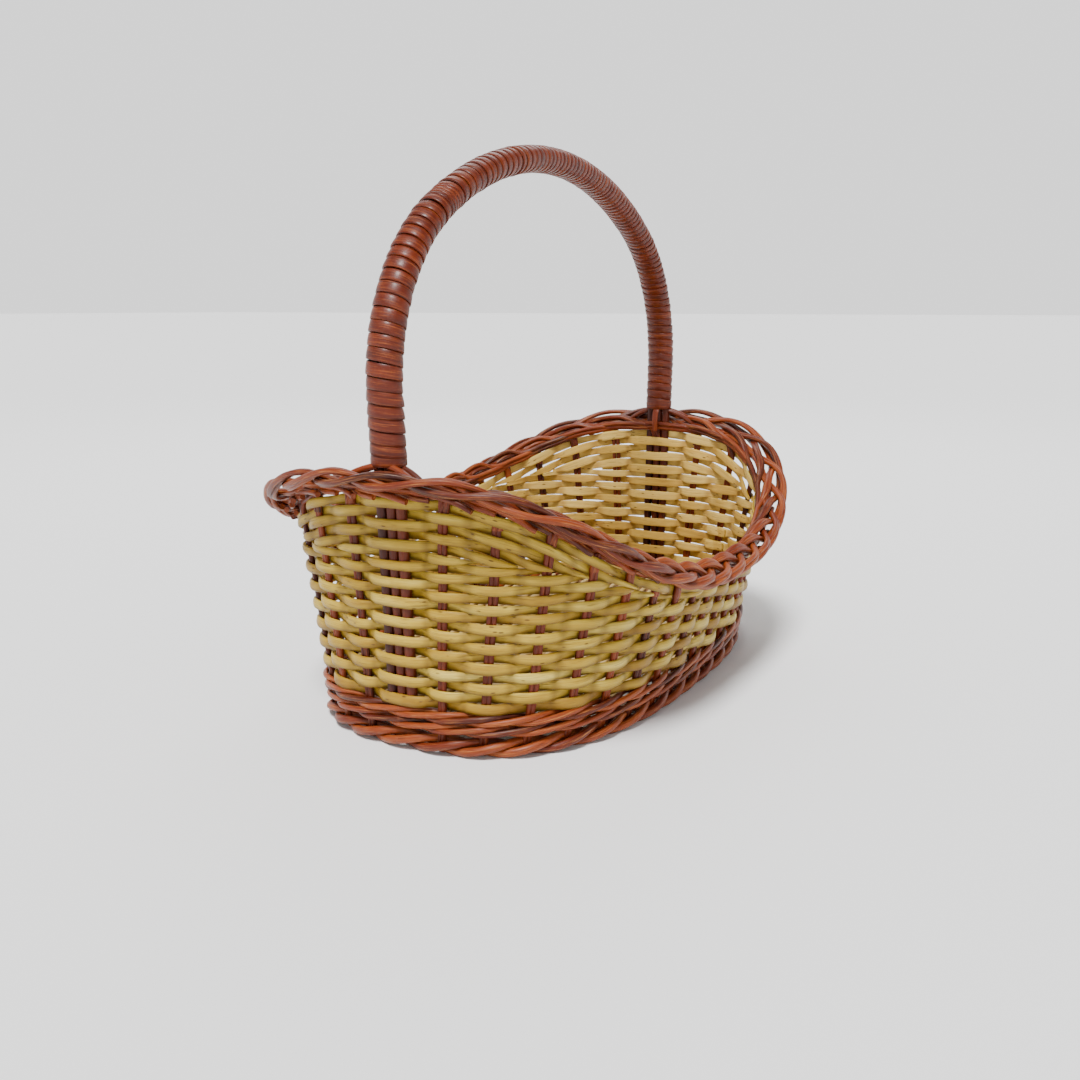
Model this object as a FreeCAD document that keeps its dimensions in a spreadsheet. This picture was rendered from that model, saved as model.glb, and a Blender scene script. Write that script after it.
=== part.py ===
"""Oval willow market basket with a saddle rim and a fixed, cane-wrapped bow handle.

Frame: millimetres, +Z up, origin on the table under the middle of the basket. The long way of the
oval and the handle's plane lie along Y, so the handle's feet stand at -Y and +Y and the rim dips at
+X and -X.

The wall is a ruled surface. Its plan is a superellipse that widens in a straight line with height,
so every stake is a straight rod, and a place on the wall is given by a stake number (0 at the -Y
handle foot, counting anticlockwise, whole numbers at the stakes), a height and a distance outward.
"""
import FreeCAD, Part

import bisect
import math
import os

SHEET = [
    ("wall_half_width", 101.4, "wall half width along X at the table"),
    ("wall_half_length", 170.9, "wall half length along Y at the table"),
    ("wall_lean_width", 0.2325, "growth of the half width per mm of height"),
    ("wall_lean_length", 0.0316, "growth of the half length per mm of height"),
    ("plan_exponent", 2.68, "superellipse exponent of the plan"),
    ("rim_mean", 124.2, "mean height of the rim"),
    ("rim_saddle", 25.3, "rise at the handle feet, and dip at the sides"),
    ("rim_tilt", -5.7, "extra height towards +X"),
    ("rim_tilt_third", -2.7, "third harmonic of the tilt"),
    ("stake_count", 36, "stake places round the wall, the two handle feet included"),
    ("stake_crowding", 0.08, "how much closer the stakes stand near the -Y foot"),
    ("stake_radius", 2.4, "upright stake"),
    ("stake_bottom", 2.0, "height of the stakes' lower ends"),
    ("stake_stand", 1.0, "stake tops above the top of the weaving"),
    ("foot_strand_radius", 2.1, "rod of the foot border"),
    ("foot_rise", 2.2, "half the height that a foot strand climbs"),
    ("foot_reach", 4.9, "how far a foot strand swings in and out"),
    ("wale_strand_radius", 1.5, "rod of the bottom wale"),
    ("wale_bottom", 12.4, "underside of the bottom wale"),
    ("wale_pitch", 6.2, "height of one round of wale"),
    ("wale_rise", 1.78, "half the height that a wale strand climbs"),
    ("wale_top", 25.4, "top of the wale and start of the rows"),
    ("level_count", 15, "level rows of the wall, the upper ones cut short by the slanted rows"),
    ("level_pitch", 5.9, "height of the lowest level row"),
    ("level_thinning", 0.048, "how much lower each level row is than the one under it"),
    ("slant_count", 6, "rows that run parallel to the border, at the handle feet"),
    ("slant_pitch", 5.6, "height of a slanted row"),
    ("weaver_thickness", 2.0, "split willow weaver"),
    ("weaver_swing", 3.8, "how far a weaver swings in and out past a stake"),
    ("handle_swing", 4.5, "the same where it passes the three bow rods"),
    ("bow_flat", 0.36, "stake places each side of a bow that a weaver runs flat"),
    ("row_gap", 0.45, "air between one row and the next"),
    ("row_end", 0.9, "height to which a row thins out at its end"),
    ("border_drop", 9.8, "mean depth of the weaving's top below the rim line"),
    ("border_drop_saddle", 2.4, "more of it at the sides, less at the handle feet"),
    ("border_width", 17.0, "mean reach of the border outward"),
    ("border_width_saddle", 5.1, "more of it at the handle feet, less at the sides"),
    ("border_fall", 3.1, "mean fall of the border's outer edge"),
    ("border_fall_saddle", 8.7, "more of it at the sides, less at the handle feet"),
    ("border_strand_radius", 2.5, "rod of the plaited border"),
    ("border_thickness", 3.4, "half the height that a border strand weaves"),
    ("border_dodge", 8.2, "how far the border passes outside the handle"),
    ("border_dodge_span", 1.6, "stake places each side of the handle that it takes to do so"),
    ("border_pinch", 3.0, "how much narrower the border is there"),
    ("handle_half_span", 180.0, "handle centre line from the middle, at the shoulders"),
    ("handle_height", 329.7, "handle centre line above the table"),
    ("handle_leg_top", 199.5, "height where the legs start to bend"),
    ("handle_shoulder", 110.0, "radius of the shoulder bends"),
    ("handle_leg_lean", 2.6, "degrees that the legs lean outward towards the shoulders"),
    ("handle_foot_z", 27.0, "height of the bow rods' lower ends"),
    ("bow_radius", 3.05, "bow rod"),
    ("bow_spacing", 6.4, "bow rods' centres, side by side"),
    ("packing_radius", 2.0, "thin packing rod inside the wrap"),
    ("packing_offset", 5.3, "packing rods' centres from the bow rods' plane"),
    ("packing_spacing", 4.6, "the two packing rods' centres"),
    ("wrap_start", 159.0, "height where the wrap starts on each leg"),
    ("wrap_half_width", 10.7, "wrapped handle, half of its width along X"),
    ("wrap_half_depth", 8.6, "wrapped handle, half of its depth"),
    ("wrap_thickness", 1.0, "flat cane of the wrap"),
    ("base_half_width", 100.0, "woven base along X"),
    ("base_half_length", 165.0, "woven base along Y"),
    ("base_weave_bottom", 21.6, "underside of the woven base"),
    ("base_weave_thickness", 3.6, "woven base"),
    ("rod_clearance", 0.3, "air between rods that lie against each other"),
    ("base_stick_radius", 1.9, "base stick"),
    ("base_long_spacing", 9.0, "long base sticks, centre to centre"),
    ("base_cross_spacing", 32.0, "cross base sticks, centre to centre"),
    ("base_stick_margin", 12.0, "base sticks stop this far inside the base"),
]

LONG_STICKS = 3
CROSS_STICKS = 9
BOW_RODS = 3
BORDER_STRANDS = 3
BORDER_STAKES_PER_WAVE = 3
WALE_ROUNDS = 2
WALE_STRANDS = 3
FOOT_STRANDS = 2

# A wale strand's swing, in shares of its clearance from a stake's middle. With the stakes at phases
# of 60, 180 and 300 degrees it clears two of them outside and the third inside.
WALE_SHIFT = 0.3
WALE_SWING = 1.1
WALE_FLATTEN = 0.25

# Steps of the splines and tables
SECTION_POLES = 8
POLES_PER_STAKE = 6
OUTLINE_POINTS = 48
PLAN_STEPS = 1440

os.makedirs("parts", exist_ok=True)
doc = FreeCAD.newDocument("market_basket")
dims = doc.addObject("Spreadsheet::Sheet", "dims")
for number, (alias, value, note) in enumerate(SHEET, start=1):
    dims.set(f"A{number}", alias)
    dims.set(f"B{number}", str(value))
    dims.setAlias(f"B{number}", alias)
    dims.set(f"C{number}", note)
doc.recompute()

STAKES = int(dims.stake_count)
LEVELS = int(dims.level_count)
SLANTS = int(dims.slant_count)
UP = FreeCAD.Vector(0, 0, 1)


def signed_power(value, power):
    return math.copysign(abs(value) ** power, value)


def plan_direction(angle):
    """The point of the unit superellipse at a polar angle."""
    c, s = math.cos(angle), math.sin(angle)
    size = (abs(c) ** dims.plan_exponent + abs(s) ** dims.plan_exponent) ** (-1 / dims.plan_exponent)
    return c * size, s * size


def arc_table():
    """Polar angles from the -Y foot round to it again, and the length of wall up to each."""
    start = -math.pi / 2
    angles = [start + 2 * math.pi * step / PLAN_STEPS for step in range(PLAN_STEPS + 1)]
    lengths = [0.0]
    for before, after in zip(angles, angles[1:]):
        xa, ya = plan_direction(before)
        xb, yb = plan_direction(after)
        step = math.hypot(dims.wall_half_width * (xb - xa), dims.wall_half_length * (yb - ya))
        lengths.append(lengths[-1] + step)
    return angles, lengths


PLAN_ANGLES, PLAN_LENGTHS = arc_table()


def stake_angle(place):
    """Polar angle of a stake place, which may lie between two stakes."""
    turns, part = divmod(place / STAKES, 1.0)
    part -= dims.stake_crowding / (2 * math.pi) * math.sin(2 * math.pi * part)
    wanted = part * PLAN_LENGTHS[-1]
    index = min(max(bisect.bisect_right(PLAN_LENGTHS, wanted) - 1, 0), PLAN_STEPS - 1)
    share = (wanted - PLAN_LENGTHS[index]) / (PLAN_LENGTHS[index + 1] - PLAN_LENGTHS[index])
    return PLAN_ANGLES[index] + share * (PLAN_ANGLES[index + 1] - PLAN_ANGLES[index]) + turns * 2 * math.pi


def eccentric_angle(angle):
    x, y = plan_direction(angle)
    half = dims.plan_exponent / 2
    return math.atan2(signed_power(y, half), signed_power(x, half))


def rim_height(place):
    t = eccentric_angle(stake_angle(place))
    return (dims.rim_mean - dims.rim_saddle * math.cos(2 * t)
            + dims.rim_tilt * math.cos(t) + dims.rim_tilt_third * math.cos(3 * t))


def weave_height(place):
    """Height where the weaving ends under the border."""
    t = eccentric_angle(stake_angle(place))
    return rim_height(place) - dims.border_drop - dims.border_drop_saddle * math.cos(2 * t)


def outward(place):
    """Unit normal of the plan, level and pointing out."""
    x, y = plan_direction(stake_angle(place))
    power = dims.plan_exponent - 1
    normal = FreeCAD.Vector(signed_power(x, power) / dims.wall_half_width,
                            signed_power(y, power) / dims.wall_half_length, 0)
    return normal.normalize()


def wall_point(place, height, offset=0.0):
    x, y = plan_direction(stake_angle(place))
    half_width = dims.wall_half_width + dims.wall_lean_width * height
    half_length = dims.wall_half_length + dims.wall_lean_length * height
    return FreeCAD.Vector(half_width * x, half_length * y, height) + outward(place) * offset


def from_handle(place):
    """Signed distance, in stake places, from the nearer handle foot."""
    half_way = STAKES / 2
    return (place + half_way / 2) % half_way - half_way / 2


def near_handle(place, reach):
    """1 at a handle foot, falling smoothly to 0 at reach stake places from it."""
    distance = abs(from_handle(place))
    if distance >= reach:
        return 0.0
    return math.cos(math.pi / 2 * distance / reach) ** 2


def spline_gain(steps):
    """A cubic spline flattens a wave of so many poles, and this factor undoes it."""
    return 3 / (2 + math.cos(2 * math.pi / steps))


def round_section(radius):
    gain = spline_gain(SECTION_POLES) * radius
    turns = [2 * math.pi * pole / SECTION_POLES for pole in range(SECTION_POLES)]
    return [(gain * math.cos(turn), gain * math.sin(turn)) for turn in turns]


def band_section(thickness, width):
    """Rounded rectangle: (across the wall, up the wall)."""
    x, y = thickness / 2, width / 2
    return [(x, 0), (x, y), (0, y), (-x, y), (-x, 0), (-x, -y), (0, -y), (x, -y)]


def checked_solid(faces):
    shell = Part.Shell(faces)
    if len(faces) > 1:
        shell.sewShape()
    solid = Part.Solid(shell)
    if solid.Volume < 0:
        solid.reverse()
    return solid


def surface_through(rings, closed):
    """One spline face round a list of section rings, closed on itself or open at its ends."""
    count = len(rings)
    surface = Part.BSplineSurface()
    if closed:
        along = list(range(count + 1))
        repeats = [1] * (count + 1)
    else:
        along = list(range(count - 2))
        repeats = [4] + [1] * (count - 4) + [4]
    round_knots = list(range(SECTION_POLES + 1))
    surface.buildFromPolesMultsKnots(rings, repeats, [1] * (SECTION_POLES + 1), along, round_knots,
                                     closed, True, 3, 3)
    return surface.toShape()


def closed_rod(centre, section, steps):
    """A rod that runs right round the basket. centre and section take a stake place."""
    rings = []
    for step in range(steps):
        place = STAKES * step / steps
        rings.append(ring_at(centre(place), outward(place), UP, section(place)))
    return checked_solid([surface_through(rings, True)])


def open_rod(centre, section, first, last, steps):
    """A rod from one stake place to another, with flat cut ends."""
    rings = []
    for step in range(steps + 1):
        place = first + (last - first) * step / steps
        rings.append(ring_at(centre(place), outward(place), UP, section(place)))
    tube = surface_through(rings, False)
    caps = [Part.Face(Part.Wire(edge)) for edge in tube.Edges if edge.isClosed()]
    return checked_solid([tube] + caps)


def ring_at(point, across, along, section):
    return [point + across * x + along * y for x, y in section]


def add_shape(label, shape):
    feature = doc.addObject("Part::Feature", label)
    feature.Label = label
    feature.Shape = shape
    feature.Placement = FreeCAD.Placement()
    return feature


def add_group(label, members):
    group = doc.addObject("Part::Compound", label)
    group.Label = label
    group.Links = members
    return group


# Weaving

def weave_wave(place):
    """Swings between 1 and -1 from stake to stake, and stays flat across the handle's bow rods."""
    distance = abs(from_handle(place))
    if distance < 1:
        distance = max(0.0, distance - dims.bow_flat) / (1 - dims.bow_flat)
    return math.cos(math.pi * distance)


def bow_offset(height):
    """How far the leaning bow rods stand out from the middle of the wall."""
    lean = math.radians(dims.handle_leg_lean)
    leg = dims.handle_half_span - (dims.handle_leg_top - height) * math.tan(lean)
    return leg - dims.wall_half_length - dims.wall_lean_length * height


def weaver_point(place, height, row):
    """Centre of a weaver: in and out past the stakes, and round the bow rods where they stand."""
    at_handle = near_handle(place, 1.0)
    swing = dims.weaver_swing + (dims.handle_swing - dims.weaver_swing) * at_handle
    side = -1 if row % 2 else 1
    offset = side * swing * spline_gain(2 * POLES_PER_STAKE) * weave_wave(place)
    return wall_point(place, height, offset + bow_offset(height) * at_handle)


def meeting_height(place):
    """Height where the level rows give way to the slanted ones, which are most at the handle feet."""
    share = math.sin(eccentric_angle(stake_angle(place))) ** 4
    return weave_height(place) - dims.slant_pitch * (1 + (SLANTS - 1) * share)


def level_low(row):
    return dims.wale_top + row * dims.level_pitch - dims.level_thinning * row * (row - 1) / 2


def level_row(row):
    def edges(place):
        return level_low(row), min(level_low(row + 1), meeting_height(place))

    return weaver(edges, row)


def slant_row(row):
    """Counted from the lowest. Only the last one runs right round."""
    def edges(place):
        high = weave_height(place) - dims.slant_pitch * (SLANTS - 1 - row)
        return max(high - dims.slant_pitch, meeting_height(place)), high

    return weaver(edges, LEVELS + row)


def weaver(edges, row):
    """A row between its lower and upper edge. It stops where they leave it no height."""
    def height(place):
        low, high = edges(place)
        return high - low - dims.row_gap

    def centre(place):
        return weaver_point(place, sum(edges(place)) / 2, row)

    def section(place):
        return band_section(dims.weaver_thickness, height(place))

    steps = STAKES * POLES_PER_STAKE
    fits = [height(step / POLES_PER_STAKE) >= dims.row_end for step in range(steps)]
    if all(fits):
        return closed_rod(centre, section, steps)
    pieces = []
    for first, last in unbroken_runs(fits):
        pieces.append(open_rod(centre, section, first / POLES_PER_STAKE, last / POLES_PER_STAKE, last - first))
    return pieces[0] if len(pieces) == 1 else Part.makeCompound(pieces)


def unbroken_runs(fits):
    """First and last step of each run that fits, going round the closed ring of steps."""
    runs = []
    for first in range(len(fits)):
        if fits[first] and not fits[first - 1]:
            last = first
            while fits[(last + 1) % len(fits)]:
                last += 1
            runs.append((first, last))
    return runs


# Wale, foot and border

def wale_strand(level, strand):
    """Passes outside two stakes and inside the third, in turn with the two other strands."""
    first_gain = spline_gain(WALE_STRANDS * POLES_PER_STAKE)
    second_gain = spline_gain(WALE_STRANDS * POLES_PER_STAKE / 2)
    middle = dims.wale_bottom + dims.wale_rise + dims.wale_strand_radius + level * dims.wale_pitch
    clear = dims.stake_radius + dims.wale_strand_radius + dims.rod_clearance

    def centre(place):
        phase = 2 * math.pi * (place - strand + 0.5) / WALE_STRANDS
        swing = WALE_SHIFT + WALE_SWING * first_gain * math.cos(phase)
        swing -= WALE_FLATTEN * second_gain * math.cos(2 * phase)
        height = middle + dims.wale_rise * first_gain * math.sin(phase)
        return wall_point(place, height, clear * swing)

    section = round_section(dims.wale_strand_radius)
    return closed_rod(centre, lambda place: section, STAKES * POLES_PER_STAKE)


def foot_strand(strand):
    """One of the two rods that twist round the stakes' lower ends as the foot."""
    gain = spline_gain(2 * POLES_PER_STAKE)
    middle = dims.foot_strand_radius + dims.foot_rise

    def centre(place):
        phase = math.pi * (place + strand)
        height = middle + dims.foot_rise * gain * math.sin(phase)
        return wall_point(place, height, dims.foot_reach * gain * math.cos(phase))

    section = round_section(dims.foot_strand_radius)
    return closed_rod(centre, lambda place: section, STAKES * POLES_PER_STAKE)


def border_strand(strand):
    """One strand of the three that plait into the flat, outward-leaning border."""
    steps = BORDER_STAKES_PER_WAVE * POLES_PER_STAKE
    first_gain, second_gain = spline_gain(steps), spline_gain(steps / 2)

    def centre(place):
        t = eccentric_angle(stake_angle(place))
        dodge = near_handle(place, dims.border_dodge_span)
        width = dims.border_width - dims.border_width_saddle * math.cos(2 * t)
        width -= dims.border_pinch * dodge
        fall = -dims.border_fall - dims.border_fall_saddle * math.cos(2 * t)
        reach = math.hypot(width, fall)
        swing = (reach / 2 - dims.border_strand_radius) * first_gain
        phase = 2 * math.pi * (place / BORDER_STAKES_PER_WAVE + strand / BORDER_STRANDS)
        across = reach / 2 + swing * math.sin(phase)
        over = -dims.border_thickness * second_gain * math.sin(2 * phase)
        out = (across * width - over * fall) / reach + dims.border_dodge * dodge
        rise = (across * fall + over * width) / reach
        return wall_point(place, rim_height(place), out) + UP * rise

    section = round_section(dims.border_strand_radius)
    return closed_rod(centre, lambda place: section, STAKES * POLES_PER_STAKE)


# Stakes

def add_stake(place, name):
    """Straight rod up the wall, its length bound to the sheet through the rim's formula."""
    stake = doc.addObject("Part::Cylinder", name)
    t = eccentric_angle(stake_angle(place))
    low = wall_point(place, dims.stake_bottom)
    high = wall_point(place, dims.stake_bottom + 1.0)
    rise = high - low
    rim = (f"dims.rim_mean - dims.rim_saddle * {math.cos(2 * t):.6f} + dims.rim_tilt * {math.cos(t):.6f}"
           f" + dims.rim_tilt_third * {math.cos(3 * t):.6f}")
    drop = f"dims.border_drop + dims.border_drop_saddle * {math.cos(2 * t):.6f}"
    length = f"({rim} - ({drop}) + dims.stake_stand - dims.stake_bottom) * {rise.Length:.6f}"
    stake.setExpression("Radius", "dims.stake_radius")
    stake.setExpression("Height", length)
    stake.Placement = FreeCAD.Placement(low, FreeCAD.Rotation(UP, rise))
    return stake


def add_stakes():
    """Four matching stakes a node, one in each quarter, and the pair in the middle of the sides."""
    nodes = []
    quarter = STAKES // 4
    for number in range(1, quarter):
        places = [number, 2 * quarter - number, 2 * quarter + number, 4 * quarter - number]
        members = [add_stake(place, f"stake_{place:02d}") for place in places]
        nodes.append(add_group(f"stakes_{number}", members))
    middle = [add_stake(place, f"stake_{place:02d}") for place in (quarter, 3 * quarter)]
    nodes.append(add_group("stakes_side", middle))
    return nodes


# Handle

def handle_path(shift, start):
    """The bow's centre line, moved outward by shift: two legs, two shoulder bends and the top."""
    shoulder_y = dims.handle_half_span - dims.handle_shoulder
    drop = dims.handle_height - dims.handle_leg_top
    spread = shoulder_y ** 2 + drop ** 2 - dims.handle_shoulder ** 2
    top_radius = spread / (2 * (drop - dims.handle_shoulder))
    top_z = dims.handle_height - top_radius
    bend = math.atan2(shoulder_y, dims.handle_leg_top - top_z)
    lean = math.radians(dims.handle_leg_lean)
    shoulder = dims.handle_shoulder + shift

    def on_shoulder(side, angle):
        """A point of the shoulder bend, its angle counted down from the vertical."""
        return FreeCAD.Vector(0, side * (shoulder_y + shoulder * math.sin(angle)),
                              dims.handle_leg_top + shoulder * math.cos(angle))

    edges = []
    for side in (-1, 1):
        high = on_shoulder(side, math.pi / 2 + lean)
        middle = on_shoulder(side, (math.pi / 2 + lean + bend) / 2)
        end = on_shoulder(side, bend)
        low = high + FreeCAD.Vector(0, -side * math.tan(lean), -1) * (high.z - start)
        edges += [Part.LineSegment(low, high).toShape(), Part.Arc(high, middle, end).toShape()]
    left, right = on_shoulder(-1, bend), on_shoulder(1, bend)
    crown = FreeCAD.Vector(0, 0, dims.handle_height + shift)
    edges.append(Part.Arc(left, crown, right).toShape())
    return Part.Wire(Part.__sortEdges__(edges))


def swept_bow(label, across, shift, start, profile, sizes):
    """A bow of constant section: profile is a Part primitive whose sizes are bound to the sheet."""
    path = doc.addObject("Part::Feature", f"{label}_path")
    path.Shape = handle_path(shift, start)
    path.Placement = FreeCAD.Placement(FreeCAD.Vector(across, 0, 0), FreeCAD.Rotation())
    first = path.Shape.OrderedVertexes[0].Point
    outline = doc.addObject(profile, f"{label}_section")
    for name, expression in sizes.items():
        outline.setExpression(name, expression)
    outline.Placement = FreeCAD.Placement(first, FreeCAD.Rotation())
    sweep = doc.addObject("Part::Sweep", label)
    sweep.Label = label
    sweep.Sections = [outline]
    sweep.Spine = (path, [])
    sweep.Solid = True
    sweep.Frenet = False
    return sweep


def add_handle():
    nodes = []
    for number in range(BOW_RODS):
        across = dims.bow_spacing * (number - (BOW_RODS - 1) / 2)
        nodes.append(swept_bow(f"handle_bow_rod_{number + 1}", across, 0.0, dims.handle_foot_z,
                               "Part::Circle", {"Radius": "dims.bow_radius"}))
    for label, side in (("handle_packing_outer", 1), ("handle_packing_inner", -1)):
        start = dims.wrap_start + dims.wrap_thickness
        members = []
        for number, half in enumerate((-0.5, 0.5), start=1):
            members.append(swept_bow(f"{label}_rod_{number}", half * dims.packing_spacing,
                                     side * dims.packing_offset, start,
                                     "Part::Circle", {"Radius": "dims.packing_radius"}))
        nodes.append(add_group(label, members))
    outer = swept_bow("handle_wrap_outside", 0.0, 0.0, dims.wrap_start, "Part::Ellipse",
                      {"MajorRadius": "dims.wrap_half_width", "MinorRadius": "dims.wrap_half_depth"})
    inner = swept_bow("handle_wrap_inside", 0.0, 0.0, dims.wrap_start, "Part::Ellipse",
                      {"MajorRadius": "dims.wrap_half_width - dims.wrap_thickness",
                       "MinorRadius": "dims.wrap_half_depth - dims.wrap_thickness"})
    wrap = doc.addObject("Part::Cut", "handle_wrap")
    wrap.Label = "handle_wrap"
    wrap.Base = outer
    wrap.Tool = inner
    nodes.append(wrap)
    return nodes


# Base

def plane_of(body, role):
    return next(feature for feature in body.Origin.OriginFeatures if feature.Role == role)


def base_outline():
    points = []
    for step in range(OUTLINE_POINTS):
        x, y = plan_direction(2 * math.pi * step / OUTLINE_POINTS)
        points.append(FreeCAD.Vector(dims.base_half_width * x, dims.base_half_length * y, 0))
    curve = Part.BSplineCurve()
    curve.interpolate(points, PeriodicFlag=True)
    return curve


def add_base_weave():
    body = doc.addObject("PartDesign::Body", "base_weave")
    body.Label = "base_weave"
    sketch = body.newObject("Sketcher::SketchObject", "base_outline")
    sketch.AttachmentSupport = [(plane_of(body, "XY_Plane"), "")]
    sketch.MapMode = "FlatFace"
    sketch.setExpression("AttachmentOffset.Base.z", "dims.base_weave_bottom")
    sketch.addGeometry(base_outline(), False)
    pad = body.newObject("PartDesign::Pad", "base_pad")
    pad.Profile = sketch
    pad.setExpression("Length", "dims.base_weave_thickness")
    body.Tip = pad
    return body


def add_base_stick(label, half_length, position, along_y):
    stick = doc.addObject("Part::Cylinder", label)
    stick.Label = label
    stick.setExpression("Radius", "dims.base_stick_radius")
    stick.setExpression("Height", f"2 * ({half_length} - dims.base_stick_margin)")
    doc.recompute()
    reach = float(stick.Height.Value) / 2
    layer = 2 if along_y else 1
    level = dims.base_weave_bottom - layer * (2 * dims.base_stick_radius + dims.rod_clearance)
    level += dims.base_stick_radius
    start = FreeCAD.Vector(position, -reach, level) if along_y else FreeCAD.Vector(-reach, position, level)
    axis = FreeCAD.Vector(0, 1, 0) if along_y else FreeCAD.Vector(1, 0, 0)
    stick.Placement = FreeCAD.Placement(start, FreeCAD.Rotation(UP, axis))
    return stick


def add_base_sticks():
    nodes = []
    for number in range(LONG_STICKS):
        position = dims.base_long_spacing * (number - (LONG_STICKS - 1) / 2)
        nodes.append(add_base_stick(f"base_long_stick_{number + 1}", "dims.base_half_length", position, True))
    for number in range(CROSS_STICKS):
        position = dims.base_cross_spacing * (number - (CROSS_STICKS - 1) / 2)
        along = (abs(position) / dims.base_half_length) ** dims.plan_exponent
        share = (1 - along) ** (1 / dims.plan_exponent)
        nodes.append(add_base_stick(f"base_cross_stick_{number + 1}", f"dims.base_half_width * {share:.5f}",
                                    position, False))
    return nodes


def build():
    nodes = [add_base_weave()]
    nodes += add_base_sticks()
    nodes += add_stakes()
    for strand in range(FOOT_STRANDS):
        nodes.append(add_shape(f"foot_strand_{strand + 1}", foot_strand(strand)))
    for level in range(WALE_ROUNDS):
        for strand in range(WALE_STRANDS):
            name = f"wale_round_{level + 1}_strand_{strand + 1}"
            nodes.append(add_shape(name, wale_strand(level, strand)))
    for row in range(LEVELS):
        nodes.append(add_shape(f"level_row_{row + 1:02d}", level_row(row)))
    for row in range(SLANTS):
        nodes.append(add_shape(f"slant_row_{row + 1}", slant_row(row)))
    for strand in range(BORDER_STRANDS):
        nodes.append(add_shape(f"border_strand_{strand + 1}", border_strand(strand)))
    nodes += add_handle()
    return nodes


def check_and_write(nodes):
    for item in doc.Objects:
        if "Invalid" in item.State or "Error" in item.State:
            raise RuntimeError(f"{item.Label} failed: {item.State}")
    for node in nodes:
        if node.Shape.isNull() or not node.Shape.isValid() or not node.Shape.Solids:
            raise RuntimeError(f"{node.Label} has no valid solid")
    for node in nodes:
        print(f"{node.Label}: {len(node.Shape.Solids)} solids, {node.Shape.Volume:.0f} mm3")
        node.Shape.exportStep(f"parts/{node.Label}.step")
    print(f"{len(nodes)} nodes")


parts = build()
doc.recompute()
check_and_write(parts)
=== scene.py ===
"""Looks of the woven market basket. Every rod, split weaver and turn of cane is built on its own,
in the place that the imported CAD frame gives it.

Lengths are millimetres in the CAD's frame (+Z up, handle feet at -Y and +Y, the rim dips at +X and
-X), and MM turns them into metres when a mesh is made. A place on the wall is a stake number: 0 at
the -Y foot, counted anticlockwise, with a whole number at every stake.
"""

import math

import bpy
import numpy as np
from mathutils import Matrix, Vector


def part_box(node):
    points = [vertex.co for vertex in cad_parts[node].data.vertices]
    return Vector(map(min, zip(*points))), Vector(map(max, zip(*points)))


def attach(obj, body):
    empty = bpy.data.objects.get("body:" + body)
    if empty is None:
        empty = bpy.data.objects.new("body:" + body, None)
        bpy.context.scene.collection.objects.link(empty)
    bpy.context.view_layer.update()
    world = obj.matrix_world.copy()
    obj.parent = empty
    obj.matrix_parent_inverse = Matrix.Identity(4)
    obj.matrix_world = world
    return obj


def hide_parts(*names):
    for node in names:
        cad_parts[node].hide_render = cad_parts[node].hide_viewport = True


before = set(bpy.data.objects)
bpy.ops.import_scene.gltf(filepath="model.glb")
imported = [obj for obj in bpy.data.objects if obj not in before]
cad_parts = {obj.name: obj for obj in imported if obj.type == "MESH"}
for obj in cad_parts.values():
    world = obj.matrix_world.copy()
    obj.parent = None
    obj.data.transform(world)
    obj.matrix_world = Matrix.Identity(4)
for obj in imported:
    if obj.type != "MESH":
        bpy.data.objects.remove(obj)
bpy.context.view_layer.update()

MM = 0.001
UP = np.array([0.0, 0.0, 1.0])
SIDEWAYS = np.array([1.0, 0.0, 0.0])
LENGTHWAYS = np.array([0.0, 1.0, 0.0])
TURN = 2 * math.pi
rng = np.random.default_rng(19)

# Wall, as in the CAD
STAKES = 36
HALF = STAKES // 2
QUARTER = STAKES // 4
WALL_HALF_WIDTH, WALL_HALF_LENGTH = 101.4, 170.9
LEAN_WIDTH, LEAN_LENGTH = 0.2325, 0.0316
PLAN_EXPONENT = 2.68
CROWDING = 0.08
RIM_MEAN, RIM_SADDLE, RIM_TILT, RIM_TILT_THIRD = 124.2, 25.3, -5.7, -2.7
WEAVE_DROP, WEAVE_DROP_SADDLE = 9.8, 2.4
BORDER_WIDTH, BORDER_WIDTH_SADDLE = 17.0, 5.1
BORDER_FALL, BORDER_FALL_SADDLE = 3.1, 8.7

# Weaving
LEVELS, LEVEL_PITCH, LEVEL_THINNING = 15, 5.9, 0.048
SLANTS, SLANT_PITCH = 6, 5.6
WALE_TOP = 25.4
STAKE_RADIUS = 2.0
WEAVER_THICKNESS = 2.0
RINGS_PER_STAKE = 14
END_LIFT, END_LIFT_SPAN = 1.7, 0.22

# Handle, as in the CAD
HANDLE_HALF_SPAN, HANDLE_HEIGHT = 180.0, 329.7
HANDLE_LEG_TOP, HANDLE_SHOULDER = 199.5, 110.0
HANDLE_LEAN = math.radians(2.6)
HANDLE_FOOT_Z = 27.0
WRAP_HALF_WIDTH, WRAP_HALF_DEPTH = 10.3, 8.2
BOW_RODS, BOW_RADIUS, BOW_SPACING, BOW_RING_STEP = 3, 3.05, 6.4, 4.0


# ---------------------------------------------------------------- wall

def plan_direction(angle):
    c, s = np.cos(angle), np.sin(angle)
    size = (np.abs(c) ** PLAN_EXPONENT + np.abs(s) ** PLAN_EXPONENT) ** (-1 / PLAN_EXPONENT)
    return c * size, s * size


def closed_places():
    """Places all round the wall, without the first one again at the end."""
    return np.arange(0, STAKES, 1 / RINGS_PER_STAKE)


def signed_power(value, power):
    return np.sign(value) * np.abs(value) ** power


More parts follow.
